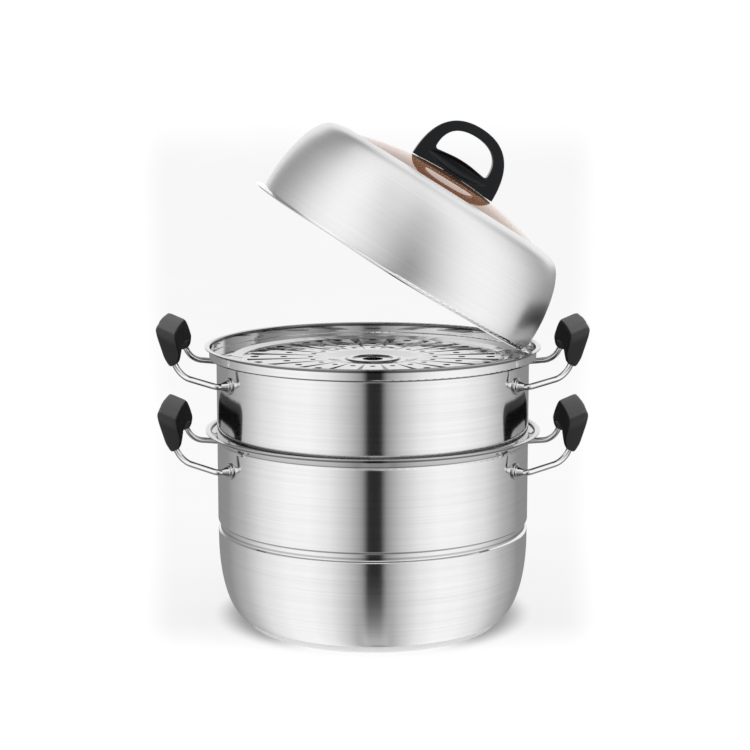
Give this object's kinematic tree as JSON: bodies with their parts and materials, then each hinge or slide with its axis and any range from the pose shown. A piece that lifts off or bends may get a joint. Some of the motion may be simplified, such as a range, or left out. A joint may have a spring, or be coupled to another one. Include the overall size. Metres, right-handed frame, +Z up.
{
  "type": "steamer pot",
  "caption": "Tall brushed steel steamer pot with a nested steamer tier, a loose perforated steam plate and a high lid with a glass top, tipped open.",
  "frame": {"origin": "middle of the base, on the surface that the pot stands on", "axes": "+Z up along the axis of the pot, +X through the right handles, -Y towards the viewer"},
  "size_m": [0.3802, 0.301, 0.4516],
  "materials": {
    "brushed_wall": "fine turned brush marks, satin",
    "brushed_lid": "fine turned brush marks, satin",
    "base_steel": "pale matt steel",
    "polished_plate": "mirror polished",
    "polished_steel": "mirror polished",
    "rivet_steel": "plain bright steel",
    "core_aluminium": "plain rolled",
    "insert_brass": "plain turned",
    "brown_glass": "tea-brown, clear and glossy",
    "black_grip": "satin black moulded plastic",
    "black_handle": "satin black moulded plastic",
    "dark_seal": "soft matt rubber"
  },
  "bodies": {
    "pot": {"pot_body": "brushed_wall", "base_cap": "base_steel", "base_core": "core_aluminium", "pot_right_grip": "black_grip", "pot_right_front_rod": "polished_steel", "pot_right_back_rod": "polished_steel", "pot_right_washers": "polished_steel", "pot_right_rivets": "rivet_steel", "pot_left_grip": "black_grip", "pot_left_front_rod": "polished_steel", "pot_left_back_rod": "polished_steel", "pot_left_washers": "polished_steel", "pot_left_rivets": "rivet_steel"},
    "tier": {"tier_body": "brushed_wall", "tier_right_grip": "black_grip", "tier_right_front_rod": "polished_steel", "tier_right_back_rod": "polished_steel", "tier_right_washers": "polished_steel", "tier_right_rivets": "rivet_steel", "tier_left_grip": "black_grip", "tier_left_front_rod": "polished_steel", "tier_left_back_rod": "polished_steel", "tier_left_washers": "polished_steel", "tier_left_rivets": "rivet_steel"},
    "plate": {"steam_plate": "polished_plate"},
    "lid": {"lid_shell": "brushed_lid", "lid_glass": "brown_glass", "glass_seal": "dark_seal", "lid_handle": "black_handle", "handle_insert": "insert_brass", "handle_screw": "rivet_steel", "screw_washer": "rivet_steel", "upper_gasket": "dark_seal", "lower_gasket": "dark_seal"}
  },
  "joints": [
    {"name": "tier_lift", "type": "slide", "parent": "pot", "child": "tier", "axis": [0, 0, 1], "range_m": [0, 0.09]},
    {"name": "plate_lift", "type": "slide", "parent": "tier", "child": "plate", "axis": [0, 0, 1], "range_m": [0, 0.06]},
    {"name": "lid_tip", "type": "hinge", "parent": "plate", "child": "lid", "pos_m": [0.14459, 0.01087, 0.24763], "axis": [-0.075, 0.9972, 0], "range_deg": [-31.97, 18]}
  ]
}
